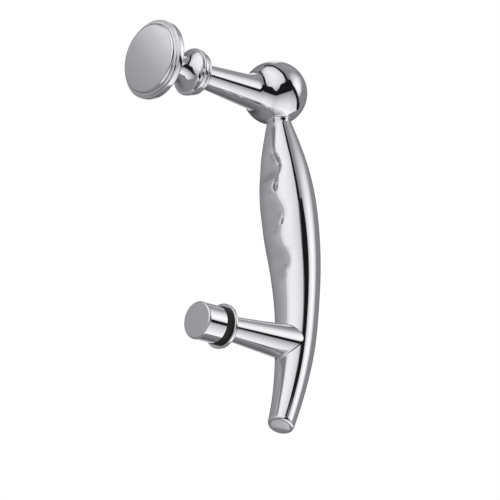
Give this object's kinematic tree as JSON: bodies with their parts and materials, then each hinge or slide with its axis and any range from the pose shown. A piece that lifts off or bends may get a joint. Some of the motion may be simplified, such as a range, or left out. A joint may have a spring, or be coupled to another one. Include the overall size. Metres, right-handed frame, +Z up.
{
  "type": "shower door handle",
  "caption": "Chrome shower door handle: bowed grip with finger scallops and a ball at its top, tapered posts with flanges, a stepped disc knob inside and a plain round cap below.",
  "frame": {"origin": "midway between the two glass hole axes, on the plane where the post flanges seat", "axes": "+X along the door, +Y through the glass towards the knob, +Z up, along the grip"},
  "size_m": [0.0428, 0.1124, 0.218],
  "materials": {
    "handle_chrome": "polished chrome plate on a zinc alloy casting",
    "knob_chrome": "chrome plate on turned metal",
    "stud_steel": "bright steel stud",
    "gasket_rubber": "black rubber"
  },
  "bodies": {
    "root": {"handle_body": "handle_chrome", "pull_knob": "knob_chrome", "end_cap": "knob_chrome", "upper_stud": "stud_steel", "lower_stud": "stud_steel", "upper_gasket": "gasket_rubber", "lower_gasket": "gasket_rubber"}
  },
  "joints": []
}
